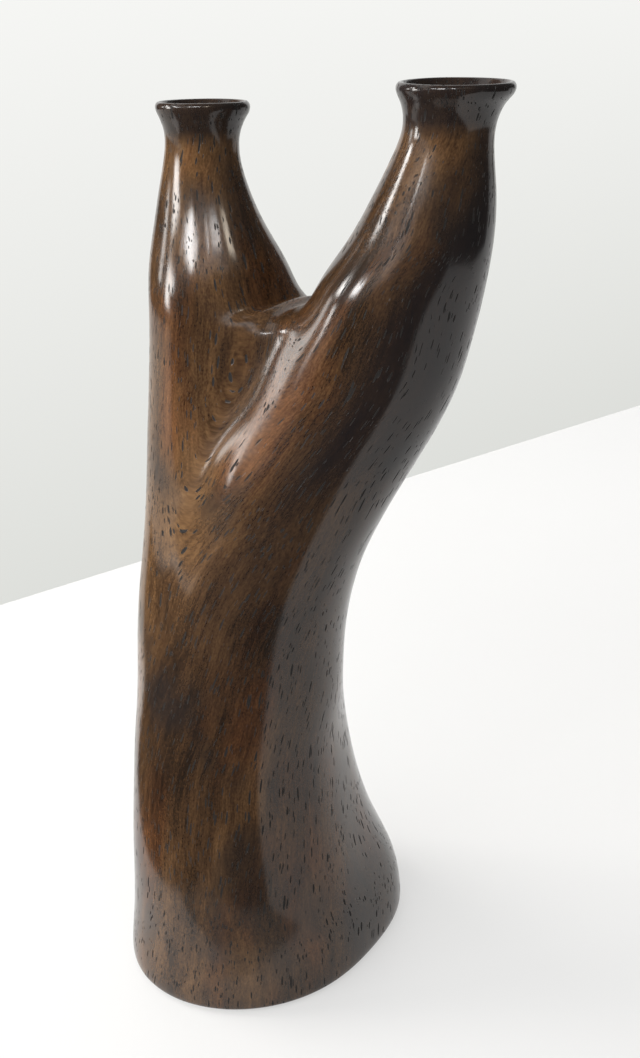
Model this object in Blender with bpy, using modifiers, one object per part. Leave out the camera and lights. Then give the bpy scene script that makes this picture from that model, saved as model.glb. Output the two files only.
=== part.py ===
"""Dip pen holder: one block of dark hardwood carved as a twisting Y, with a pen bore in each arm.

The wood is one continuous soft form, so it is built as a cage of rings under a Subdivision Surface:
rings of the trunk from the foot to the crotch, where the cage divides into two arms that run up
over their flared lips and down into their bores. The liners in the bores and the pad under the foot
are separate pieces. X points right, Y to the back and Z up, and the table is at Z = 0.
"""

import math

import bmesh
import bpy
from mathutils import Vector

MM = 0.001

# Driving dimensions, in millimetres.
LEFT_TALL, RIGHT_TALL = 157.0, 160.0  # table to the top of each lip
LEFT_LIP_RADIUS, RIGHT_LIP_RADIUS = 8.2, 9.6
LEFT_BORE_DEPTH, RIGHT_BORE_DEPTH = 38.0, 30.0
BORE_RADIUS = 4.4
THROAT_DEPTH = 7.0  # from the lip down to where the funnel becomes the bore
LIP_ROUND = 0.7  # radius of the roll along the top of each lip
FOOT_LIFT = 0.4  # the pad stands this far out below the wood
FOOT_ROUND = 0.8  # of the edge between the foot's side and its underside
RECESS_DEPTH = 1.2
PAD_MARGIN = 3.2  # wood left round the pad's recess
PAD_SIDE_GAP = 0.8
GAP = 0.3  # between other pieces that touch
LINER_WALL = 0.6
LINER_BELOW_LIP = 6.0
LINER_END_GAP = 1.2  # under the liner, where the bore's end is rounded

# The cage: points round the trunk, and across the saddle between the arms.
TRUNK_POINTS = 24
SADDLE_POINTS = 3
ARM_POINTS = TRUNK_POINTS // 2 + 1 + SADDLE_POINTS
SMOOTH_LEVELS = 1
LINER_STEPS = 32
PAD_POINTS = 48

# A limb's oval section: centre x, centre y, half length, half width, direction of the length.
# Each trunk station is a height with the sections of the two limbs, which are blended into one
# outline. They turn about each other: the limb at the back left of the crotch starts at the back
# right of the foot.
FOOT = ((2.6, 3.8, 24.8, 23.1, 55.0), (-3.1, -5.3, 24.7, 23.2, 55.0))
TRUNK = (
    (10.0, (2.6, 5.0, 23.4, 22.4, 40.0), (-3.2, -5.4, 22.8, 22.7, 40.0)),
    (18.0, (1.0, 5.4, 20.8, 21.4, 0.0), (-4.0, -6.0, 21.3, 21.5, 0.0)),
    (27.0, (-1.0, 5.0, 20.0, 20.4, 0.0), (-4.6, -5.2, 20.3, 20.3, 0.0)),
    (36.0, (-1.8, 4.2, 19.2, 19.2, 0.0), (-4.7, -4.4, 19.3, 19.2, 0.0)),
    (45.0, (-2.4, 3.4, 18.9, 18.6, 0.0), (-4.4, -3.6, 18.8, 18.6, 0.0)),
    (54.0, (-3.6, 3.4, 18.8, 17.8, 0.0), (-2.4, -3.4, 18.6, 18.2, 0.0)),
    (63.0, (-4.3, 4.0, 17.7, 16.6, 0.0), (-0.3, -3.8, 17.0, 17.6, 0.0)),
    (72.0, (-4.4, 5.0, 16.5, 15.4, 0.0), (1.8, -4.8, 16.3, 17.0, 0.0)),
    (81.0, (-4.2, 6.0, 15.1, 14.4, 0.0), (4.9, -6.0, 15.8, 16.4, 0.0)),
    (90.0, (-3.8, 6.6, 14.5, 13.8, -15.0), (9.5, -7.4, 15.8, 15.6, 0.0)),
    (99.0, (-3.2, 6.6, 14.4, 13.3, -25.0), (14.3, -8.4, 16.5, 14.8, 0.0)),
    (107.0, (-2.4, 6.4, 14.3, 12.9, -30.0), (19.6, -9.0, 16.0, 14.2, 0.0)),
    (114.5, (-1.8, 6.3, 14.3, 12.6, -35.0), (24.0, -9.4, 14.8, 13.8, 0.0)),
)
LEFT_ARM = (
    (123.0, (-1.6, 7.1, 13.4, 11.9, 0.0)),
    (129.5, (-2.4, 7.9, 13.0, 10.9, -30.0)),
    (136.0, (-3.7, 9.4, 10.9, 8.5, -45.0)),
    (142.5, (-4.3, 10.2, 8.7, 6.8, -45.0)),
    (148.0, (-4.2, 10.1, 6.9, 6.0, -50.0)),
    (152.0, (-3.7, 10.0, 6.6, 6.1, -50.0)),
    (154.7, (-3.3, 10.0, 7.6, 7.6, 0.0)),
)
RIGHT_ARM = (
    (123.0, (26.4, -9.6, 14.6, 13.4, 0.0)),
    (129.5, (28.5, -10.0, 13.9, 12.8, 0.0)),
    (136.0, (31.9, -10.0, 11.7, 11.4, 0.0)),
    (142.5, (33.9, -10.0, 10.0, 9.8, 0.0)),
    (148.5, (35.3, -10.0, 8.1, 8.1, 0.0)),
    (153.0, (36.4, -10.0, 7.1, 7.1, 0.0)),
    (156.5, (37.1, -10.0, 8.0, 8.0, 0.0)),
)
BLEND_SHARE = 0.28  # how far the groove between the limbs is filled, of the distance between them

# The right limb carries a soft ridge on its front left, highest in the middle of the trunk.
RIDGE_TURN, RIDGE_SPREAD = -154.0, 22.0
RIDGE_HEIGHT, RIDGE_MIDDLE, RIDGE_LENGTH = 1.6, 95.0, 30.0

# The crotch: direction from the left arm to the right one, how far the top trunk ring rises at its
# front and back ends, and the saddle's points from front to back.
ARMS_TURN = -47.0
SPLIT_LIFT = (6.0, 5.0)
SADDLE = ((1.8, -7.4, 124.2), (9.0, -1.5, 126.0), (15.6, 4.6, 125.6))

# Each mouth: centre of the lip, height, lip radius, the lip's slopes down to the right and to the
# back, centre of the bore's blind end, and depth of the bore.
LEFT_MOUTH = ((-3.4, 10.0), LEFT_TALL, LEFT_LIP_RADIUS, (0.035, 0.035), (-3.2, 9.8), LEFT_BORE_DEPTH)
RIGHT_MOUTH = ((37.6, -10.0), RIGHT_TALL, RIGHT_LIP_RADIUS, (0.03, 0.01), (35.6, -9.8), RIGHT_BORE_DEPTH)


def clear_scene():
    for obj in list(bpy.data.objects):
        bpy.data.objects.remove(obj)


def unit(degrees):
    return Vector((math.cos(math.radians(degrees)), math.sin(math.radians(degrees)), 0))


def directions(count, first_degrees):
    """Unit vectors of a ring of the cage, anticlockwise seen from above."""
    return [unit(first_degrees + 360 * index / count) for index in range(count)]


def outward(count):
    """Subdivision pulls a ring in towards its centre, and the cage stands out by as much."""
    return 3 / (2 + math.cos(2 * math.pi / count))


def arm_ring(height, section, first_degrees):
    """One ring of an arm: a circle stretched along the section's length."""
    centre_x, centre_y, long, short, turn = section
    centre, along = Vector((centre_x, centre_y, height)), unit(turn)
    points = []
    for way in directions(ARM_POINTS, first_degrees):
        reach = way * short + along * way.dot(along) * (long - short)
        points.append(centre + reach * outward(ARM_POINTS))
    return points


def outside_by(point, section, ridge=0.0):
    """Roughly how far a point lies outside a limb's section, negative inside it."""
    centre_x, centre_y, long, short, turn = section
    offset = point - Vector((centre_x, centre_y, 0))
    along, across = unit(turn), unit(turn + 90)
    reach = math.hypot(offset.dot(along) / long, offset.dot(across) / short)
    away = (math.degrees(math.atan2(offset.y, offset.x)) - RIDGE_TURN + 180) % 360 - 180
    return (reach - 1) * short - ridge * math.exp(-((away / RIDGE_SPREAD) ** 2))


def trunk_outline(left, right, count, first_degrees, ridge=0.0):
    """A middle and the offsets from it to the outline of the two limbs, the groove partly filled."""
    left_centre, right_centre = Vector((*left[:2], 0)), Vector((*right[:2], 0))
    middle = (left_centre + right_centre) / 2
    apart = right_centre - left_centre
    width = (left[3] + right[3]) / 2
    blend = BLEND_SHARE * apart.length
    offsets = []
    for way in directions(count, first_degrees):
        ray = way * width + apart * way.dot(apart.normalized()) / 2
        inside, outside = 0.0, 2.0
        while outside - inside > 1e-6:
            share = (inside + outside) / 2
            point = middle + ray * share
            left_out, right_out = outside_by(point, left), outside_by(point, right, ridge)
            filled = max(blend - abs(left_out - right_out), 0) ** 2 / (4 * blend)
            if min(left_out, right_out) < filled:
                inside = share
            else:
                outside = share
        offsets.append(ray * inside)
    return middle, offsets


def trunk_ring(height, left, right, first_degrees):
    """One ring of the trunk."""
    ridge = RIDGE_HEIGHT * math.exp(-(((height - RIDGE_MIDDLE) / RIDGE_LENGTH) ** 2))
    middle, offsets = trunk_outline(left, right, TRUNK_POINTS, first_degrees, ridge)
    spread = outward(TRUNK_POINTS)
    return [middle + offset * spread + Vector((0, 0, height)) for offset in offsets]


def inset_foot(inset):
    """The two limbs of the foot, drawn in by a margin."""
    return [(x, y, long - inset, short - inset, turn) for x, y, long, short, turn in FOOT]


def foot_rings(first_degrees):
    """From the middle of the underside out: the recess, the flat wood round it and the edge."""
    roof = FOOT_LIFT + RECESS_DEPTH
    steps = (
        (roof, 14.0),
        (roof, PAD_MARGIN + 0.4),
        (roof - 0.1, PAD_MARGIN),
        (FOOT_LIFT + 0.1, PAD_MARGIN),
        (FOOT_LIFT, PAD_MARGIN - 0.3),
        (FOOT_LIFT, FOOT_ROUND),
        (FOOT_LIFT + FOOT_ROUND * 0.6, 0.0),
        (FOOT_LIFT + FOOT_ROUND * 4, 0.0),
    )
    return [trunk_ring(height, *inset_foot(inset), first_degrees) for height, inset in steps]


def split_ring(first_degrees):
    """The trunk's top ring, raised where the two arms part."""
    ring = trunk_ring(*TRUNK[-1], first_degrees)
    for index, point in enumerate(ring):
        facing = math.cos(2 * math.pi * index / TRUNK_POINTS)
        lift = SPLIT_LIFT[0] if facing > 0 else SPLIT_LIFT[1]
        point.z += lift * abs(facing) ** 6
    return ring


def saddle_points():
    """Three points across the crotch, from the front to the back."""
    return [Vector(place) for place in SADDLE]


def mouth_rings(top, tall, lip_radius, fall, end, bore_depth, first_degrees):
    """Round rings over the lip, down the funnel and along the bore to its blind end."""
    profile = (
        (2.2, lip_radius - 0.5),
        (0.9, lip_radius),
        (0.0, lip_radius - LIP_ROUND * 0.7),
        (0.0, lip_radius - LIP_ROUND * 1.6),
        (1.0, lip_radius - LIP_ROUND * 2.4),
        (THROAT_DEPTH * 0.5, BORE_RADIUS + 1.4),
        (THROAT_DEPTH, BORE_RADIUS),
        (bore_depth * 0.6, BORE_RADIUS),
        (bore_depth - 0.8, BORE_RADIUS),
        (bore_depth, BORE_RADIUS - 0.6),
    )
    rings = []
    for depth, radius in profile:
        centre = Vector(top).lerp(Vector(end), depth / bore_depth)
        ring = arm_ring(tall - depth, (*centre, radius, radius, 0.0), first_degrees)
        for point in ring:
            point.z -= (point.xy - centre).dot(Vector(fall))
        rings.append(ring)
    return rings


def add_ring(cage, points):
    return [cage.verts.new(point * MM) for point in points]


def bridge(cage, lower, upper):
    """Quads between two rings of the same count, facing out when the rings run anticlockwise."""
    for index in range(len(lower)):
        after = (index + 1) % len(lower)
        cage.faces.new((lower[index], lower[after], upper[after], upper[index]))


def loft(cage, loop, rings):
    """Bridges from a loop of the cage up through the rings, and returns the last of them."""
    for points in rings:
        ring = add_ring(cage, points)
        bridge(cage, loop, ring)
        loop = ring
    return loop


def body_cage():
    cage = bmesh.new()
    first = ARMS_TURN - 90
    trunk = foot_rings(first) + [trunk_ring(*station, first) for station in TRUNK[:-1]]
    bottom = add_ring(cage, trunk[0])
    cage.faces.new(list(reversed(bottom)))
    split = loft(cage, bottom, trunk[1:] + [split_ring(first)])
    saddle = add_ring(cage, saddle_points())

    half = TRUNK_POINTS // 2
    arms = (
        (split[half:] + split[:1] + saddle, LEFT_ARM, LEFT_MOUTH, 180),
        (split[: half + 1] + saddle[::-1], RIGHT_ARM, RIGHT_MOUTH, 0),
    )
    for loop, stations, mouth, turn in arms:
        arm_first = ARMS_TURN + turn - 360 / ARM_POINTS * half / 2
        rings = [arm_ring(*station, arm_first) for station in stations]
        cage.faces.new(loft(cage, loop, rings + mouth_rings(*mouth, arm_first)))
    return cage


def object_from(cage, name, collection):
    mesh = bpy.data.meshes.new(name)
    cage.to_mesh(mesh)
    cage.free()
    mesh.shade_smooth()
    obj = bpy.data.objects.new(name, mesh)
    collection.objects.link(obj)
    return obj


def finish(obj, name, colour, roughness):
    material = bpy.data.materials.new(name)
    material.use_nodes = True
    shader = material.node_tree.nodes["Principled BSDF"]
    shader.inputs["Base Color"].default_value = (*colour, 1.0)
    shader.inputs["Roughness"].default_value = roughness
    obj.data.materials.append(material)


def make_body(collection):
    body = object_from(body_cage(), "carved_body", collection)
    smooth = body.modifiers.new("carved surface", "SUBSURF")
    smooth.levels = SMOOTH_LEVELS
    smooth.render_levels = SMOOTH_LEVELS
    finish(body, "oiled dark hardwood", (0.075, 0.035, 0.018), 0.3)


def make_liner(name, mouth, collection):
    """A thin cup down the bore, turned from its half section and set along the bore's axis."""
    top, tall, _, _, end, bore_depth = mouth
    outer = BORE_RADIUS - GAP
    inner = outer - LINER_WALL
    length = bore_depth - LINER_BELOW_LIP - LINER_END_GAP
    profile = (
        (0.0, LINER_WALL),
        (inner - 0.3, LINER_WALL),
        (inner, LINER_WALL + 0.3),
        (inner, length),
        (outer, length),
        (outer, 0.8),
        (outer - 0.8, 0.0),
        (0.0, 0.0),
    )
    cage = bmesh.new()
    points = [cage.verts.new(Vector((x, 0, z)) * MM) for x, z in profile]
    for start, after in zip(points, points[1:]):
        cage.edges.new((start, after))
    liner = object_from(cage, name, collection)
    turned = liner.modifiers.new("turned", "SCREW")
    turned.steps = LINER_STEPS
    turned.render_steps = LINER_STEPS
    turned.use_merge_vertices = True
    turned.merge_threshold = 0.00001
    axis = Vector((top[0] - end[0], top[1] - end[1], bore_depth)).normalized()
    foot = Vector((*end, tall - bore_depth)) + axis * LINER_END_GAP
    liner.location = foot * MM
    liner.rotation_euler = axis.to_track_quat("Z", "Y").to_euler()
    finish(liner, name, (0.02, 0.02, 0.02), 0.6)


def make_pad(collection):
    """The pad has the foot's outline, drawn in by the margin and a gap, and is extruded upwards."""
    middle, offsets = trunk_outline(*inset_foot(PAD_MARGIN + PAD_SIDE_GAP), PAD_POINTS, 0)
    cage = bmesh.new()
    rim = add_ring(cage, [middle + offset for offset in offsets])
    face = cage.faces.new(list(reversed(rim)))
    raised = bmesh.ops.extrude_face_region(cage, geom=[face], use_keep_orig=True)["geom"]
    upper = [item for item in raised if isinstance(item, bmesh.types.BMVert)]
    thick = FOOT_LIFT + RECESS_DEPTH - GAP
    bmesh.ops.translate(cage, verts=upper, vec=Vector((0, 0, thick)) * MM)
    bmesh.ops.recalc_face_normals(cage, faces=cage.faces)
    pad = object_from(cage, "base_pad", collection)
    pad.data.set_sharp_from_angle(angle=math.radians(40))
    finish(pad, "dark felt", (0.03, 0.028, 0.026), 0.95)


def main():
    clear_scene()
    collection = bpy.data.collections.new("dip pen holder")
    bpy.context.scene.collection.children.link(collection)
    make_body(collection)
    make_liner("left_pen_liner", LEFT_MOUTH, collection)
    make_liner("right_pen_liner", RIGHT_MOUTH, collection)
    make_pad(collection)


main()
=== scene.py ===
"""Dip pen holder of dark hardwood, waxed to a semi-gloss, standing on a white table.

The carved body is the CAD cage subdivided further, with a hand-carved surface and a solid wood
texture that runs through it, so that the same streaks and pores come out on every side. The
liners and the pad are the CAD pieces with their own materials.
"""

import math

import bmesh
import bpy
from mathutils import Matrix, Vector, noise

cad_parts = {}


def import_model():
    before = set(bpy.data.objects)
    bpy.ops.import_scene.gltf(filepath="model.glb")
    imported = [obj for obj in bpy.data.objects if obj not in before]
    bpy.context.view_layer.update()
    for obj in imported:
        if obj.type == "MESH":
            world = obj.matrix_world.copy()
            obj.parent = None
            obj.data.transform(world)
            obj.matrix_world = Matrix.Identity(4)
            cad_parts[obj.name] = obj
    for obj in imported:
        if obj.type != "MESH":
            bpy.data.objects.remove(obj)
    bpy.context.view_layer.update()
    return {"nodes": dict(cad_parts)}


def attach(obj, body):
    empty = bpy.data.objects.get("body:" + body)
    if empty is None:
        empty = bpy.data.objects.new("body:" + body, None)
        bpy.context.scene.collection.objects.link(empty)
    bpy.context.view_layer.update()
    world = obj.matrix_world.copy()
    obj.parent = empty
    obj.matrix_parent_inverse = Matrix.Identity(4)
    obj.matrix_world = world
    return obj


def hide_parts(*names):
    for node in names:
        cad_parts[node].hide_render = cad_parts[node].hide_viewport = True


MM = 0.001

# Driving dimensions of the carved body, in millimetres, as in the CAD part.
LEFT_TALL, RIGHT_TALL = 157.0, 160.0
LEFT_LIP_RADIUS, RIGHT_LIP_RADIUS = 8.2, 9.6
LEFT_BORE_DEPTH, RIGHT_BORE_DEPTH = 38.0, 30.0
BORE_RADIUS = 4.4
THROAT_DEPTH = 7.0
LIP_ROUND = 0.7
FOOT_LIFT = 0.4
FOOT_ROUND = 0.8
RECESS_DEPTH = 1.2
PAD_MARGIN = 3.2
TRUNK_POINTS = 24
SADDLE_POINTS = 3
ARM_POINTS = TRUNK_POINTS // 2 + 1 + SADDLE_POINTS
SMOOTH_LEVELS = 3

# The unevenness that the knife and sandpaper left, in millimetres: broad swells and small ones.
SWELL_LENGTH, SWELL_HEIGHT = 17, 0.05
SWELL_START = Vector((3.1, 0, 7))
RIPPLE_WIDTH, RIPPLE_LENGTH, RIPPLE_HEIGHT = 6, 11, 0.02

# The grain: how wide the change from one limb's grain to the other's is, in millimetres, and how
# fast it spirals up the trunk, in radians a millimetre, from the height where it has no turn.
LIMB_BLEND = 4.0
GRAIN_TWIST = 0.007
TWIST_MIDDLE = 60.0

# The darker heartwood, with painted shade and a painted dark reflection in it, along the front
# right of the right limb: how far from the limb's axis it starts and over what it deepens, and the
# height from which it rises to full and over what. A share of it goes on down the front, dying
# away over its tail to an end above the foot.
HEART_AND_SHADE_SIDE = Vector((0.21, -0.98))
HEART_AND_SHADE_START, HEART_AND_SHADE_FADE = 5.0, 6.0
HEART_AND_SHADE_LOW, HEART_AND_SHADE_RISE = 84.0, 18.0
HEART_AND_SHADE_BELOW = 0.75
HEART_AND_SHADE_END, HEART_AND_SHADE_TAIL = 26.0, 84.0

# Each lip is painted darker, as painted shade on its flare that faces down, and the left limb is
# painted paler on its way up, as painted light on its side towards the lamps.
LIP_SHADE_REACH, LIP_FADE = 5.0, 3.0
LIT_SIDE_LOW, LIT_SIDE_FADE = 40.0, 40.0

# The wood's colours: the ramp from its darkest streaks to its palest, and what is laid over it.
WOOD_TONES = (
    (0.26, (0.006, 0.004, 0.0032)),
    (0.39, (0.014, 0.0082, 0.0048)),
    (0.50, (0.040, 0.0207, 0.0097)),
    (0.61, (0.081, 0.0430, 0.0190)),
    (0.78, (0.145, 0.081, 0.036)),
)
RED_TINT = (1.10, 0.90, 0.80)
# The heartwood's near-black, which also carries painted shade and a painted dark reflection, and how
# much of it is laid over the wood.
HEART_AND_SHADE_COLOUR, HEART_AND_SHADE_SHARE = (0.0085, 0.0075, 0.0085), 0.82
BLOTCH_COLOUR, BLOTCH_SHARE = (0.0105, 0.0095, 0.0098), 0.55
PORE_COLOUR = (0.0045, 0.003, 0.0025)
LIT_SIDE_LIFT = 0.05  # of the tone, where the left limb is painted paler as painted light

# The figure, in layers of noise drawn out along the grain: how fast a layer changes along the grain
# as a part of how fast it changes across it, its changes a millimetre, its detail, roughness and
# distortion, and its share of the tone.
FIGURE = {
    "clouds": (0.5, 0.045, 2.0, 0.55, 0.6, 0.44),
    "bands": (0.16, 0.24, 3.0, 0.55, 0.3, 0.26),
    "streaks": (0.06, 0.9, 2.0, 0.6, 0.0, 0.18),
    "fibres": (0.08, 2.8, 2.0, 0.65, 0.0, 0.24),
    "speckle": (0.5, 4.0, 1.0, 0.5, 0.0, 0.22),
}

# The open pores, large to small: cells a millimetre, the widest pore as a part of its cell, and
# the share of the cells that hold none. Their edges are soft over a small part of a cell.
PORES = ((1.0, 0.23, 0.45), (1.7, 0.34, 0.2), (2.3, 0.34, 0.2))
PORE_STRETCH = 0.13
PORE_EDGE = 0.04

# The set, in metres. The table's back edge runs at an angle past the object, with the wall some way
# behind it, and the sheets run far out of view.
AIM = Vector((0.01, 0.0, 0.09))  # the middle of the object, which the lamps are turned to
TABLE_EDGE = Vector((0.0315, 0.2515, 0))
ALONG_EDGE, BEYOND_EDGE = Vector((0.794, 0.608, 0)), Vector((-0.608, 0.794, 0))
SHEET_REACH = 3
WALL_DISTANCE = 0.7
ROOM_DISTANCE = 2.9  # to the wall behind the camera, in front of the edge
WALL_LOW, WALL_HIGH = Vector((0, 0, -2)), Vector((0, 0, 3))
# The wall's glow from its bottom to its top: painted light, brighter towards the top.
WALL_GLOW_COLOURS = ((0.0, (0.71, 0.72, 0.69)), (1.0, (0.98, 0.98, 0.965)))
TABLE_GLOW = 0.54

# The camera: its place, its tilt down and its roll, in degrees, and its lens, in millimetres.
CAMERA_PLACE = (0.0132, -0.2529, 0.1795)
CAMERA_TILT, CAMERA_ROLL = 21, -2.6
CAMERA_LENS = 51.04

# Cards that only reflections see, as a studio puts beside a glossy object, so that each lamp shows
# just where it should. The front and left ones are upright outlines in millimetres, with slots for
# the lamps, and the rest are in metres.
FRONT_CARD_Y = -0.11
FRONT_CARD = (
    (-160, 0), (40, 0), (43, 60), (65, 85), (125, 120), (150, 400),
    (42, 400), (42, 224), (15, 224), (15, 400),
    (-10, 400), (-10, 224), (-50, 224), (-50, 400),
    (-66, 400), (-66, 224), (-160, 224),
)
LEFT_CARD_X = -0.075
LEFT_CARD = (
    (-110, 0), (50, 0), (50, 70), (-4, 70),
    (-4, 138), (-16, 138), (-16, 168), (-60, 168),
    (-60, 192), (-30, 192), (-30, 245), (-110, 245),
)
SIDE_CARD = (
    (0.13, -0.11, 0.12), (0.32, -0.02, 0.05), (0.34, 0.12, 0.05),
    (0.34, 0.12, 0.4), (0.15, -0.11, 0.4),
)
FLOOR_CARD_X, FLOOR_CARD_Y, FLOOR_CARD_Z = (-0.10, 0.04), (-0.11, -0.05), 0.001
BACK_CARD_START, BACK_CARD_HEIGHT, BACK_CARD_GAP = 0.15, 1.2, 0.02

# Lamps: name, azimuth and elevation in degrees, distance, width and height in metres, power in
# watts and colour. The fills don't show in reflections.
DAYLIGHT, WHITE = (1.0, 0.98, 0.95), (1, 1, 1)
LAMPS = (
    ("window", 170, 27, 1.0, 0.14, 0.12, 1.3, DAYLIGHT),
    ("low window", 161, 14, 0.9, 0.10, 0.2, 0.42, DAYLIGHT),
    ("side window", -178, 11, 1.0, 0.24, 0.26, 3.2, DAYLIGHT),
    ("left lamp", -156, 28, 1.2, 0.42, 0.14, 5.0, WHITE),
    ("front lamp", -133, 35, 1.2, 0.46, 0.14, 6.0, WHITE),
    ("ceiling lamp", -107, 40, 1.2, 0.5, 0.12, 5.0, WHITE),
    ("warm lamp", -72, 43, 1.2, 0.36, 0.12, 2.0, (1.0, 0.88, 0.72)),
)
FILLS = (
    ("left fill", 158, 30, 0.95, 0.6, 0.6, 14.0, (1.0, 0.97, 0.92)),
    ("top fill", 60, 84, 1.4, 1.6, 1.6, 8.0, WHITE),
    ("front fill", -80, 35, 1.6, 1.6, 1.6, 1.0, WHITE),
)
ROOM_COLOUR, ROOM_STRENGTH = (0.80, 0.82, 0.82, 1.0), 0.10

# A limb's oval section: centre x, centre y, half length, half width, direction of the length.
# Each trunk station is a height with the sections of the two limbs, which are blended into one
# outline. They turn about each other: the limb at the back left of the crotch starts at the back
# right of the foot.
FOOT = ((2.6, 3.8, 24.8, 23.1, 55.0), (-3.1, -5.3, 24.7, 23.2, 55.0))
TRUNK = (
    (10.0, (2.6, 5.0, 23.4, 22.4, 40.0), (-3.2, -5.4, 22.8, 22.7, 40.0)),
    (18.0, (1.0, 5.4, 20.8, 21.4, 0.0), (-4.0, -6.0, 21.3, 21.5, 0.0)),
    (27.0, (-1.0, 5.0, 20.0, 20.4, 0.0), (-4.6, -5.2, 20.3, 20.3, 0.0)),
    (36.0, (-1.8, 4.2, 19.2, 19.2, 0.0), (-4.7, -4.4, 19.3, 19.2, 0.0)),
    (45.0, (-2.4, 3.4, 18.9, 18.6, 0.0), (-4.4, -3.6, 18.8, 18.6, 0.0)),
    (54.0, (-3.6, 3.4, 18.8, 17.8, 0.0), (-2.4, -3.4, 18.6, 18.2, 0.0)),
    (63.0, (-4.3, 4.0, 17.7, 16.6, 0.0), (-0.3, -3.8, 17.0, 17.6, 0.0)),
    (72.0, (-4.4, 5.0, 16.5, 15.4, 0.0), (1.8, -4.8, 16.3, 17.0, 0.0)),
    (81.0, (-4.2, 6.0, 15.1, 14.4, 0.0), (4.9, -6.0, 15.8, 16.4, 0.0)),
    (90.0, (-3.8, 6.6, 14.5, 13.8, -15.0), (9.5, -7.4, 15.8, 15.6, 0.0)),
    (99.0, (-3.2, 6.6, 14.4, 13.3, -25.0), (14.3, -8.4, 16.5, 14.8, 0.0)),
    (107.0, (-2.4, 6.4, 14.3, 12.9, -30.0), (19.6, -9.0, 16.0, 14.2, 0.0)),
    (114.5, (-1.8, 6.3, 14.3, 12.6, -35.0), (24.0, -9.4, 14.8, 13.8, 0.0)),
)
LEFT_ARM = (
    (123.0, (-1.6, 7.1, 13.4, 11.9, 0.0)),
    (129.5, (-2.4, 7.9, 13.0, 10.9, -30.0)),
    (136.0, (-3.7, 9.4, 10.9, 8.5, -45.0)),
    (142.5, (-4.3, 10.2, 8.7, 6.8, -45.0)),
    (148.0, (-4.2, 10.1, 6.9, 6.0, -50.0)),
    (152.0, (-3.7, 10.0, 6.6, 6.1, -50.0)),
    (154.7, (-3.3, 10.0, 7.6, 7.6, 0.0)),
)
RIGHT_ARM = (
    (123.0, (26.4, -9.6, 14.6, 13.4, 0.0)),
    (129.5, (28.5, -10.0, 13.9, 12.8, 0.0)),
    (136.0, (31.9, -10.0, 11.7, 11.4, 0.0)),
    (142.5, (33.9, -10.0, 10.0, 9.8, 0.0)),
    (148.5, (35.3, -10.0, 8.1, 8.1, 0.0)),
    (153.0, (36.4, -10.0, 7.1, 7.1, 0.0)),
    (156.5, (37.1, -10.0, 8.0, 8.0, 0.0)),
)
BLEND_SHARE = 0.28  # how far the groove between the limbs is filled, of the distance between them

# The right limb carries a soft ridge on its front left, highest in the middle of the trunk.
RIDGE_TURN, RIDGE_SPREAD = -154.0, 22.0
RIDGE_HEIGHT, RIDGE_MIDDLE, RIDGE_LENGTH = 1.6, 95.0, 30.0

# The crotch: direction from the left arm to the right one, how far the top trunk ring rises at its
# front and back ends, and the saddle's points from front to back.
ARMS_TURN = -47.0
SPLIT_LIFT = (6.0, 5.0)
SADDLE = ((1.8, -7.4, 124.2), (9.0, -1.5, 126.0), (15.6, 4.6, 125.6))

# Each mouth: centre of the lip, height, lip radius, the lip's slopes down to the right and to the
# back, centre of the bore's blind end, and depth of the bore.
LEFT_MOUTH = ((-3.4, 10.0), LEFT_TALL, LEFT_LIP_RADIUS, (0.035, 0.035), (-3.2, 9.8), LEFT_BORE_DEPTH)
RIGHT_MOUTH = ((37.6, -10.0), RIGHT_TALL, RIGHT_LIP_RADIUS, (0.03, 0.01), (35.6, -9.8), RIGHT_BORE_DEPTH)


def unit(degrees):
    return Vector((math.cos(math.radians(degrees)), math.sin(math.radians(degrees)), 0))


def directions(count, first_degrees):
    """Unit vectors of a ring of the cage, anticlockwise seen from above."""
    return [unit(first_degrees + 360 * index / count) for index in range(count)]


def outward(count):
    """Subdivision pulls a ring in towards its centre, and the cage stands out by as much."""
    return 3 / (2 + math.cos(2 * math.pi / count))


def arm_ring(height, section, first_degrees):
    """One ring of an arm: a circle stretched along the section's length."""
    centre_x, centre_y, long, short, turn = section
    centre, along = Vector((centre_x, centre_y, height)), unit(turn)
    points = []
    for way in directions(ARM_POINTS, first_degrees):
        reach = way * short + along * way.dot(along) * (long - short)
        points.append(centre + reach * outward(ARM_POINTS))
    return points


def outside_by(point, section, ridge=0.0):
    """Roughly how far a point lies outside a limb's section, negative inside it."""
    centre_x, centre_y, long, short, turn = section
    offset = point - Vector((centre_x, centre_y, 0))
    along, across = unit(turn), unit(turn + 90)
    reach = math.hypot(offset.dot(along) / long, offset.dot(across) / short)
    away = (math.degrees(math.atan2(offset.y, offset.x)) - RIDGE_TURN + 180) % 360 - 180
    return (reach - 1) * short - ridge * math.exp(-((away / RIDGE_SPREAD) ** 2))


def trunk_outline(left, right, count, first_degrees, ridge=0.0):
    """A middle and the offsets from it to the outline of the two limbs, the groove partly filled."""
    left_centre, right_centre = Vector((*left[:2], 0)), Vector((*right[:2], 0))
    middle = (left_centre + right_centre) / 2
    apart = right_centre - left_centre
    width = (left[3] + right[3]) / 2
    blend = BLEND_SHARE * apart.length
    offsets = []
    for way in directions(count, first_degrees):
        ray = way * width + apart * way.dot(apart.normalized()) / 2
        inside, outside = 0.0, 2.0
        while outside - inside > 1e-6:
            share = (inside + outside) / 2
            point = middle + ray * share
            left_out, right_out = outside_by(point, left), outside_by(point, right, ridge)
            filled = max(blend - abs(left_out - right_out), 0) ** 2 / (4 * blend)
            if min(left_out, right_out) < filled:
                inside = share
            else:
                outside = share
        offsets.append(ray * inside)
    return middle, offsets


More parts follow.
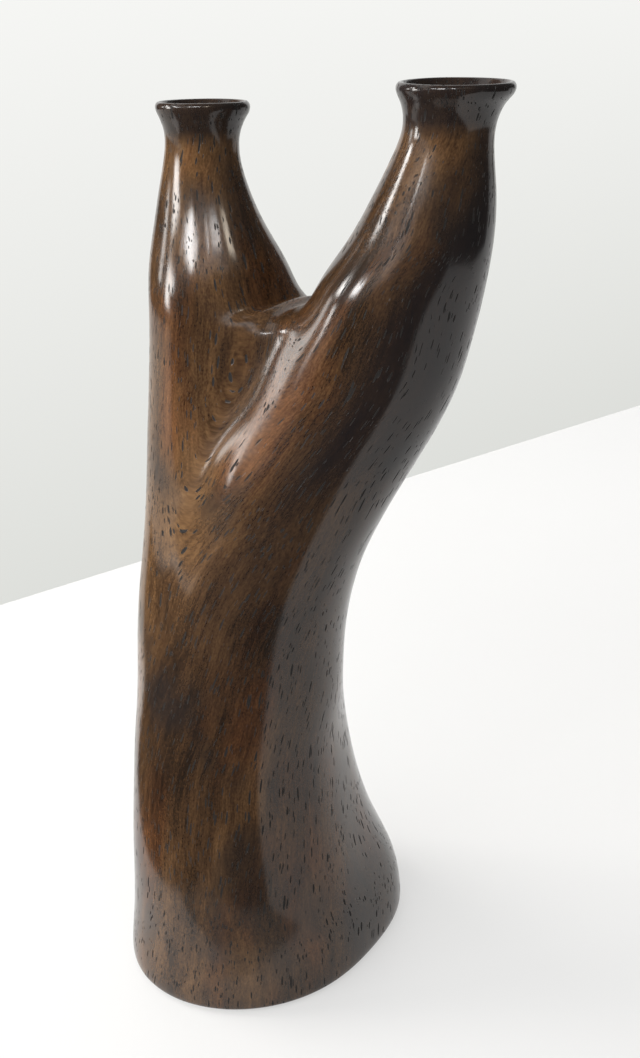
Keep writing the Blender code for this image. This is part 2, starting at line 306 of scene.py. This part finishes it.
def trunk_ring(height, left, right, first_degrees):
    """One ring of the trunk."""
    ridge = RIDGE_HEIGHT * math.exp(-(((height - RIDGE_MIDDLE) / RIDGE_LENGTH) ** 2))
    middle, offsets = trunk_outline(left, right, TRUNK_POINTS, first_degrees, ridge)
    spread = outward(TRUNK_POINTS)
    return [middle + offset * spread + Vector((0, 0, height)) for offset in offsets]


def inset_foot(inset):
    """The two limbs of the foot, drawn in by a margin."""
    return [(x, y, long - inset, short - inset, turn) for x, y, long, short, turn in FOOT]


def foot_rings(first_degrees):
    """From the middle of the underside out: the recess, the flat wood round it and the edge."""
    roof = FOOT_LIFT + RECESS_DEPTH
    steps = (
        (roof, 14.0),
        (roof, PAD_MARGIN + 0.4),
        (roof - 0.1, PAD_MARGIN),
        (FOOT_LIFT + 0.1, PAD_MARGIN),
        (FOOT_LIFT, PAD_MARGIN - 0.3),
        (FOOT_LIFT, FOOT_ROUND),
        (FOOT_LIFT + FOOT_ROUND * 0.6, 0.0),
        (FOOT_LIFT + FOOT_ROUND * 4, 0.0),
    )
    return [trunk_ring(height, *inset_foot(inset), first_degrees) for height, inset in steps]


def split_ring(first_degrees):
    """The trunk's top ring, raised where the two arms part."""
    ring = trunk_ring(*TRUNK[-1], first_degrees)
    for index, point in enumerate(ring):
        facing = math.cos(2 * math.pi * index / TRUNK_POINTS)
        lift = SPLIT_LIFT[0] if facing > 0 else SPLIT_LIFT[1]
        point.z += lift * abs(facing) ** 6
    return ring


def saddle_points():
    """Three points across the crotch, from the front to the back."""
    return [Vector(place) for place in SADDLE]


def mouth_rings(top, tall, lip_radius, fall, end, bore_depth, first_degrees):
    """Round rings over the lip, down the funnel and along the bore to its blind end."""
    profile = (
        (2.2, lip_radius - 0.5),
        (0.9, lip_radius),
        (0.0, lip_radius - LIP_ROUND * 0.7),
        (0.0, lip_radius - LIP_ROUND * 1.6),
        (1.0, lip_radius - LIP_ROUND * 2.4),
        (THROAT_DEPTH * 0.5, BORE_RADIUS + 1.4),
        (THROAT_DEPTH, BORE_RADIUS),
        (bore_depth * 0.6, BORE_RADIUS),
        (bore_depth - 0.8, BORE_RADIUS),
        (bore_depth, BORE_RADIUS - 0.6),
    )
    rings = []
    for depth, radius in profile:
        centre = Vector(top).lerp(Vector(end), depth / bore_depth)
        ring = arm_ring(tall - depth, (*centre, radius, radius, 0.0), first_degrees)
        for point in ring:
            point.z -= (point.xy - centre).dot(Vector(fall))
        rings.append(ring)
    return rings


def add_ring(cage, points):
    return [cage.verts.new(point * MM) for point in points]


def bridge(cage, lower, upper):
    """Quads between two rings of the same count, facing out when the rings run anticlockwise."""
    for index in range(len(lower)):
        after = (index + 1) % len(lower)
        cage.faces.new((lower[index], lower[after], upper[after], upper[index]))


def loft(cage, loop, rings):
    """Bridges from a loop of the cage up through the rings, and returns the last of them."""
    for points in rings:
        ring = add_ring(cage, points)
        bridge(cage, loop, ring)
        loop = ring
    return loop


def body_cage():
    cage = bmesh.new()
    first = ARMS_TURN - 90
    trunk = foot_rings(first) + [trunk_ring(*station, first) for station in TRUNK[:-1]]
    bottom = add_ring(cage, trunk[0])
    cage.faces.new(list(reversed(bottom)))
    split = loft(cage, bottom, trunk[1:] + [split_ring(first)])
    saddle = add_ring(cage, saddle_points())

    half = TRUNK_POINTS // 2
    arms = (
        (split[half:] + split[:1] + saddle, LEFT_ARM, LEFT_MOUTH, 180),
        (split[: half + 1] + saddle[::-1], RIGHT_ARM, RIGHT_MOUTH, 0),
    )
    for loop, stations, mouth, turn in arms:
        arm_first = ARMS_TURN + turn - 360 / ARM_POINTS * half / 2
        rings = [arm_ring(*station, arm_first) for station in stations]
        cage.faces.new(loft(cage, loop, rings + mouth_rings(*mouth, arm_first)))
    return cage


def axis_at(path, height):
    """A limb's centre at a height, on a smooth curve through its stations."""
    after = next((i for i, point in enumerate(path) if point[0] > height), len(path) - 1)
    after = max(after, 1)
    low, high = path[after - 1], path[after]
    before, beyond = path[max(after - 2, 0)], path[min(after + 1, len(path) - 1)]
    run = high[0] - low[0]
    share = min(max((height - low[0]) / run, 0.0), 1.0)
    place = []
    for axis in (1, 2):
        start = (high[axis] - before[axis]) / (high[0] - before[0]) * run
        end = (beyond[axis] - low[axis]) / (beyond[0] - low[0]) * run
        across = high[axis] - low[axis]
        bend = (start + end - 2 * across) * share**3 + (3 * across - 2 * start - end) * share**2
        place.append(low[axis] + start * share + bend)
    return Vector(place)


def limb_paths():
    """Where the two limbs run, as heights and centres, from the foot up to each lip."""
    left = [(0.0, *FOOT[0][:2])] + [(z, *first[:2]) for z, first, _ in TRUNK]
    right = [(0.0, *FOOT[1][:2])] + [(z, *second[:2]) for z, _, second in TRUNK]
    left += [(z, *section[:2]) for z, section in LEFT_ARM]
    right += [(z, *section[:2]) for z, section in RIGHT_ARM]
    return left, right


def unit_share(value):
    return min(max(value, 0), 1)


def keep_on_points(mesh, name, kind, field, values):
    layer = mesh.attributes.new(name, kind, "POINT")
    layer.data.foreach_set(field, values)


def record_grain(mesh):
    """Keeps on each point its place in the straight tree, its heartwood and painted shade, and its
    painted light.

    The grain follows the two limbs, so that place is the offset from the nearer limb's axis.
    """
    left, right = limb_paths()
    places, depths, sap = [], [], []
    for vertex in mesh.vertices:
        place = vertex.co / MM
        to_left = place.xy - axis_at(left, place.z)
        to_right = place.xy - axis_at(right, place.z)
        share = 1 / (1 + math.exp((to_right.length - to_left.length) / LIMB_BLEND))
        across = to_left.lerp(to_right, share)
        across.rotate(Matrix.Rotation(-GRAIN_TWIST * (place.z - TWIST_MIDDLE), 2))
        places += [*across, place.z]
        # How dark the heartwood is here, with painted shade and a painted dark reflection along the
        # right limb's front right and down the front.
        deep = unit_share((across.dot(HEART_AND_SHADE_SIDE) - HEART_AND_SHADE_START) / HEART_AND_SHADE_FADE)
        above = unit_share((place.z - HEART_AND_SHADE_LOW) / HEART_AND_SHADE_RISE)
        below = HEART_AND_SHADE_BELOW * unit_share((place.z - HEART_AND_SHADE_END) / HEART_AND_SHADE_TAIL)
        # Painted shade on each lip and its flare, which faces down.
        lip = LEFT_ARM[-1][0] * (1 - share) + RIGHT_ARM[-1][0] * share - LIP_SHADE_REACH
        lip_shade = unit_share((place.z - lip) / LIP_FADE)
        depths.append(max(deep * share * max(above, below), lip_shade))
        # Painted light: the left limb paler on its way up, on its side towards the lamps.
        sap.append((1 - share) * unit_share((place.z - LIT_SIDE_LOW) / LIT_SIDE_FADE))
    keep_on_points(mesh, "grain", "FLOAT_VECTOR", "vector", places)
    keep_on_points(mesh, "heart_and_shade", "FLOAT", "value", depths)
    keep_on_points(mesh, "sap", "FLOAT", "value", sap)


def carve(mesh):
    """Moves the surface by small amounts, except under the foot and at its edge."""
    for vertex, normal in zip(mesh.vertices, [v.normal.copy() for v in mesh.vertices]):
        place = vertex.co / MM
        if place.z > FOOT_LIFT + FOOT_ROUND:
            swell = noise.noise(place / SWELL_LENGTH + SWELL_START)
            across = place.xy / RIPPLE_WIDTH
            ripple = noise.noise(Vector((*across, place.z / RIPPLE_LENGTH)))
            vertex.co += normal * (SWELL_HEIGHT * swell + RIPPLE_HEIGHT * ripple) * MM


def make_body():
    """The subdivided cage, as one mesh."""
    cage = bpy.data.meshes.new("carved cage")
    shape = body_cage()
    shape.to_mesh(cage)
    shape.free()
    rough = bpy.data.objects.new("carved cage", cage)
    bpy.context.scene.collection.objects.link(rough)
    smooth = rough.modifiers.new("carved surface", "SUBSURF")
    smooth.levels = SMOOTH_LEVELS
    smooth.render_levels = SMOOTH_LEVELS
    graph = bpy.context.evaluated_depsgraph_get()
    mesh = bpy.data.meshes.new_from_object(rough.evaluated_get(graph))
    mesh.name = "carved wood"
    bpy.data.objects.remove(rough)
    bpy.data.meshes.remove(cage)
    record_grain(mesh)
    carve(mesh)
    mesh.shade_smooth()
    body = bpy.data.objects.new("carved_wood", mesh)
    bpy.context.scene.collection.objects.link(body)
    return body


class Graph:
    """A material's node tree, with one call for each kind of node that the materials share."""

    def __init__(self, name):
        self.material = bpy.data.materials.new(name)
        self.material.use_nodes = True
        self.tree = self.material.node_tree
        self.shader = self.tree.nodes["Principled BSDF"]

    def node(self, kind, inputs=None, **settings):
        made = self.tree.nodes.new(kind)
        for name, value in settings.items():
            setattr(made, name, value)
        for name, value in (inputs or {}).items():
            self.put(made.inputs[name], value)
        return made

    def put(self, socket, value):
        if isinstance(value, bpy.types.NodeSocket):
            self.tree.links.new(value, socket)
        elif isinstance(value, (tuple, list)) and len(value) == 3 and socket.type == "RGBA":
            socket.default_value = (*value, 1.0)
        else:
            socket.default_value = value

    def shade(self, **values):
        for name, value in values.items():
            self.put(self.shader.inputs[name.replace("_", " ")], value)

    def math(self, operation, first, second=0.0, third=None, clamp=False):
        made = self.node("ShaderNodeMath", operation=operation, use_clamp=clamp)
        self.put(made.inputs[0], first)
        self.put(made.inputs[1], second)
        if third is not None:
            self.put(made.inputs[2], third)
        return made.outputs[0]

    def noise(self, place, scale, detail=2.0, roughness=0.5, distortion=0.0):
        inputs = {
            "Vector": place,
            "Scale": scale,
            "Detail": detail,
            "Roughness": roughness,
            "Distortion": distortion,
        }
        return self.node("ShaderNodeTexNoise", inputs).outputs["Fac"]

    def stretched(self, place, scale):
        inputs = {"Vector": place, "Scale": scale}
        return self.node("ShaderNodeMapping", inputs, vector_type="POINT").outputs[0]

    def recorded(self, name, output):
        """What record_grain kept on the points under a name."""
        return self.node("ShaderNodeAttribute", attribute_name=name).outputs[output]

    def along_grain(self, grain, stretch, scale, detail=2.0, roughness=0.5, distortion=0.0):
        """Noise drawn out along the grain."""
        place = self.stretched(grain, (1, 1, stretch))
        return self.noise(place, scale, detail, roughness, distortion)

    def steps(self, value, low, high, smooth=True):
        inputs = {"Value": value, "From Min": low, "From Max": high}
        kind = "SMOOTHSTEP" if smooth else "LINEAR"
        return self.node("ShaderNodeMapRange", inputs, interpolation_type=kind).outputs[0]

    def ramp(self, value, stops):
        made = self.node("ShaderNodeValToRGB", {"Fac": value})
        colours = made.color_ramp.elements
        while len(colours) < len(stops):
            colours.new(0.5)
        for element, (place, colour) in zip(colours, stops):
            element.position = place
            element.color = (*colour, 1.0)
        return made.outputs["Color"]

    def mix(self, share, first, second, blend="MIX"):
        made = self.node("ShaderNodeMix", data_type="RGBA", blend_type=blend)
        self.put(made.inputs[0], share)
        self.put(made.inputs[6], first)
        self.put(made.inputs[7], second)
        return made.outputs[2]

    def bump(self, height, distance, strength=1.0, normal=None):
        inputs = {"Height": height, "Distance": distance, "Strength": strength}
        if normal is not None:
            inputs["Normal"] = normal
        return self.node("ShaderNodeBump", inputs).outputs["Normal"]


def wavering_grain(graph):
    """The recorded place in the straight tree, moved to and fro a few millimetres."""
    record = graph.recorded("grain", "Vector")
    waver = graph.node("ShaderNodeTexNoise", {"Vector": record, "Scale": 0.05, "Detail": 1.0})
    centred = graph.node("ShaderNodeVectorMath", operation="SUBTRACT")
    graph.put(centred.inputs[0], waver.outputs["Color"])
    centred.inputs[1].default_value = (0.5, 0.5, 0.5)
    moved = graph.node("ShaderNodeVectorMath", operation="MULTIPLY_ADD")
    graph.put(moved.inputs[0], centred.outputs[0])
    moved.inputs[1].default_value = (5.0, 5.0, 0.0)
    graph.put(moved.inputs[2], record)
    return moved.outputs[0]


def open_pores(graph, grain):
    """Short dark slits along the grain, 1 in a pore and 0 between them."""
    pores = 0.0
    for scale, widest, bare in PORES:
        place = graph.stretched(grain, (1, 1, PORE_STRETCH))
        cells = graph.node("ShaderNodeTexVoronoi", {"Vector": place, "Scale": scale}, feature="F1")
        chosen = graph.node("ShaderNodeSeparateColor", {"Color": cells.outputs["Color"]})
        width = graph.math("MULTIPLY", chosen.outputs["Red"], widest)
        held = graph.steps(chosen.outputs["Green"], bare, bare + 0.1)
        width = graph.math("MULTIPLY", width, held)
        depth = graph.math("SUBTRACT", width, cells.outputs["Distance"])
        pores = graph.math("MAXIMUM", graph.steps(depth, 0.0, PORE_EDGE), pores)
    return pores


def hardwood():
    """Waxed rosewood: warm brown with near-black figure, long pores and fine fibres."""
    graph = Graph("waxed dark hardwood")
    grain = wavering_grain(graph)

    tone, layers = 0.5, {}
    for name, (*shape, share) in FIGURE.items():
        layers[name] = graph.along_grain(grain, *shape)
        part = graph.math("MULTIPLY", graph.math("SUBTRACT", layers[name], 0.5), share)
        tone = graph.math("ADD", part, tone)
    # Painted light: the tone lifted on the left limb.
    sap = graph.math("MULTIPLY", graph.recorded("sap", "Fac"), LIT_SIDE_LIFT)
    wood = graph.ramp(graph.math("ADD", tone, sap), WOOD_TONES)

    # Redder streaks, the dark heartwood with painted shade and a painted dark reflection, the painted
    # shade on the lips, and dark blotches over all.
    redness = graph.steps(graph.along_grain(grain, 0.3, 0.09), 0.50, 0.68)
    wood = graph.mix(redness, wood, RED_TINT, "MULTIPLY")
    heart_and_shade = graph.math("MULTIPLY", graph.recorded("heart_and_shade", "Fac"), HEART_AND_SHADE_SHARE)
    wood = graph.mix(heart_and_shade, wood, HEART_AND_SHADE_COLOUR)
    blotch = graph.steps(graph.along_grain(grain, 0.6, 0.055, 2.0, 0.5, 0.4), 0.53, 0.66)
    wood = graph.mix(graph.math("MULTIPLY", blotch, BLOTCH_SHARE), wood, BLOTCH_COLOUR)

    pores = open_pores(graph, grain)
    wood = graph.mix(pores, wood, PORE_COLOUR)

    # The wax: glossy where it was rubbed, duller in smears, and matt in the pores.
    smear = graph.noise(grain, 0.28, 3.0, 0.6)
    gloss = graph.math("MULTIPLY_ADD", smear, 0.10, 0.10)
    gloss = graph.math("ADD", gloss, graph.math("MULTIPLY", pores, 0.7), clamp=True)

    skin = graph.bump(graph.noise(grain, 0.25, 2.0, 0.45), 0.04 * MM, 0.3)
    skin = graph.bump(layers["fibres"], 0.012 * MM, 0.5, skin)
    skin = graph.bump(graph.math("SUBTRACT", 1.0, pores), 0.12 * MM, 0.8, skin)
    graph.shade(Base_Color=wood, Roughness=gloss, Normal=skin, IOR=1.5)
    return graph.material


def liner_dark():
    """A blackened cup, with faint rings from the tool."""
    graph = Graph("blackened liner")
    place = graph.node("ShaderNodeTexCoord").outputs["Object"]
    rings = graph.noise(graph.stretched(place, (60, 60, 1500)), 1.0, 2.0)
    wear = graph.noise(place, 420.0, 3.0)
    colour = graph.ramp(wear, ((0.35, (0.009, 0.009, 0.010)), (0.7, (0.028, 0.026, 0.025))))
    rough = graph.math("MULTIPLY_ADD", wear, 0.3, 0.42)
    skin = graph.bump(rings, 0.04 * MM, 0.6)
    graph.shade(Base_Color=colour, Roughness=rough, Normal=skin, IOR=1.45)
    return graph.material


def felt():
    """Dark felt: a soft mat of short fibres."""
    graph = Graph("dark felt")
    place = graph.node("ShaderNodeTexCoord").outputs["Object"]
    mat = graph.noise(place, 900.0, 4.0, 0.7, 1.5)
    tufts = graph.noise(place, 240.0, 2.0)
    both = graph.math("MULTIPLY", graph.math("ADD", mat, tufts), 0.5)
    colour = graph.ramp(both, ((0.35, (0.012, 0.011, 0.010)), (0.65, (0.045, 0.041, 0.037))))
    graph.shade(
        Base_Color=colour,
        Roughness=0.95,
        Normal=graph.bump(mat, 0.2 * MM, 0.8),
        Sheen_Weight=0.3,
        Specular_IOR_Level=0.2,
    )
    return graph.material


def plain(name, colour, roughness, mottle):
    """A painted or laminated surface with a faint mottle."""
    graph = Graph(name)
    place = graph.node("ShaderNodeTexCoord").outputs["Object"]
    cloud = graph.noise(place, 9.0, 3.0)
    lighter = tuple(channel * (1 + mottle) for channel in colour)
    darker = tuple(channel * (1 - mottle) for channel in colour)
    graph.shade(Base_Color=graph.mix(cloud, darker, lighter), Roughness=roughness)
    return graph.material


def glowing_wall():
    """A wall that glows, with painted light a little brighter towards its top."""
    graph = Graph("glowing wall")
    place = graph.node("ShaderNodeTexCoord").outputs["Object"]
    height = graph.node("ShaderNodeSeparateXYZ", {"Vector": place}).outputs["Z"]
    light = graph.ramp(graph.steps(height, -0.35, 0.35, smooth=False), WALL_GLOW_COLOURS)
    graph.shade(Base_Color=(0.02, 0.02, 0.02), Emission_Color=light, Emission_Strength=1.0)
    graph.shade(Roughness=0.9, Specular_IOR_Level=0.0)
    return graph.material


def sheet(name, corners, material):
    """A flat piece of the set, which isn't part of the object."""
    mesh = bpy.data.meshes.new(name)
    mesh.from_pydata([Vector(corner) for corner in corners], [], [tuple(range(len(corners)))])
    made = bpy.data.objects.new(name, mesh)
    mesh.materials.append(material)
    bpy.context.scene.collection.objects.link(made)
    return made


def only_camera(made):
    """Shows a piece of the set without letting it light the object or show in its gloss."""
    made.visible_glossy = False
    made.visible_diffuse = False
    made.visible_shadow = False


def flag(name, corners, material):
    """A dark card that only reflections see."""
    card = sheet(name, corners, material)
    card.visible_camera = False
    card.visible_diffuse = False
    card.visible_shadow = False


def add_light(name, azimuth, elevation, distance, width, height, power, colour):
    """A soft rectangular light in a direction from the middle of the object, and turned to it."""
    data = bpy.data.lights.new(name, "AREA")
    data.shape = "RECTANGLE"
    data.size = width
    data.size_y = height
    data.energy = power
    data.color = colour
    lamp = bpy.data.objects.new(name, data)
    way = Vector((
        math.cos(math.radians(elevation)) * math.cos(math.radians(azimuth)),
        math.cos(math.radians(elevation)) * math.sin(math.radians(azimuth)),
        math.sin(math.radians(elevation)),
    ))
    lamp.location = AIM + way * distance
    lamp.rotation_euler = way.to_track_quat("Z", "Y").to_euler()
    bpy.context.scene.collection.objects.link(lamp)
    return lamp


def make_camera():
    """A little above the lips, looking down, and slightly rolled."""
    data = bpy.data.cameras.new("camera")
    data.sensor_width = 36.0
    data.lens = CAMERA_LENS
    data.clip_start = 0.01
    camera = bpy.data.objects.new("camera", data)
    tilt, roll = math.radians(CAMERA_TILT), math.radians(CAMERA_ROLL)
    turn = Matrix.Rotation(math.pi / 2 - tilt, 4, "X") @ Matrix.Rotation(roll, 4, "Z")
    camera.matrix_world = Matrix.Translation(CAMERA_PLACE) @ turn
    bpy.context.scene.collection.objects.link(camera)
    bpy.context.scene.camera = camera


def upright(first, second, low, high):
    """The corners of a wall between two places."""
    return (first + low, second + low, second + high, first + high)


def make_room():
    """The glowing table, the wall behind it, and the wall that only views from behind show."""
    table = plain("white table", (0.20, 0.20, 0.20), 0.55, 0.01)
    shader = table.node_tree.nodes["Principled BSDF"]
    shader.inputs["Emission Color"].default_value = (1.0, 1.0, 0.995, 1.0)
    shader.inputs["Emission Strength"].default_value = TABLE_GLOW
    near = [TABLE_EDGE + ALONG_EDGE * reach for reach in (SHEET_REACH, -SHEET_REACH)]
    front = [corner - BEYOND_EDGE * SHEET_REACH for corner in reversed(near)]
    sheet("table", near + front, table)
    far = [corner + BEYOND_EDGE * WALL_DISTANCE for corner in near]
    sheet("wall", upright(*far, WALL_LOW, WALL_HIGH), glowing_wall())
    room = [corner - BEYOND_EDGE * ROOM_DISTANCE for corner in near]
    only_camera(sheet("room behind", upright(*room, WALL_LOW, WALL_HIGH), glowing_wall()))


def make_cards():
    dark = plain("black card", (0.012, 0.012, 0.013), 0.9, 0.2)
    base = TABLE_EDGE + BEYOND_EDGE * (WALL_DISTANCE - BACK_CARD_GAP)
    ends = [base - ALONG_EDGE * reach for reach in (BACK_CARD_START, SHEET_REACH)]
    flag("back card", upright(*ends, Vector(), Vector((0, 0, BACK_CARD_HEIGHT))), dark)
    flag("front card", [(x * MM, FRONT_CARD_Y, z * MM) for x, z in FRONT_CARD], dark)
    flag("side card", SIDE_CARD, dark)
    (left, right), (front, back) = FLOOR_CARD_X, FLOOR_CARD_Y
    floor = [(left, front), (right, front), (right, back), (left, back)]
    grey = plain("grey card", (0.16, 0.155, 0.15), 0.9, 0.2)
    flag("floor card", [(x, y, FLOOR_CARD_Z) for x, y in floor], grey)
    flag("left card", [(LEFT_CARD_X, y * MM, z * MM) for y, z in LEFT_CARD], dark)


def make_lights():
    for lamp in LAMPS:
        add_light(*lamp)
    for fill in FILLS:
        add_light(*fill).visible_glossy = False
    world = bpy.data.worlds.new("room")
    world.use_nodes = True
    background = world.node_tree.nodes["Background"]
    background.inputs["Color"].default_value = ROOM_COLOUR
    background.inputs["Strength"].default_value = ROOM_STRENGTH
    bpy.context.scene.world = world
    bpy.context.scene.view_settings.view_transform = "Standard"


def main():
    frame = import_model()
    nodes = frame["nodes"]

    body = make_body()
    body.data.materials.append(hardwood())
    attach(body, "root")
    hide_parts("carved_body")
    for name, material in (
        ("left_pen_liner", liner_dark()),
        ("right_pen_liner", liner_dark()),
        ("base_pad", felt()),
    ):
        nodes[name].data.materials.clear()
        nodes[name].data.materials.append(material)

    make_camera()
    make_room()
    make_cards()
    make_lights()


main()
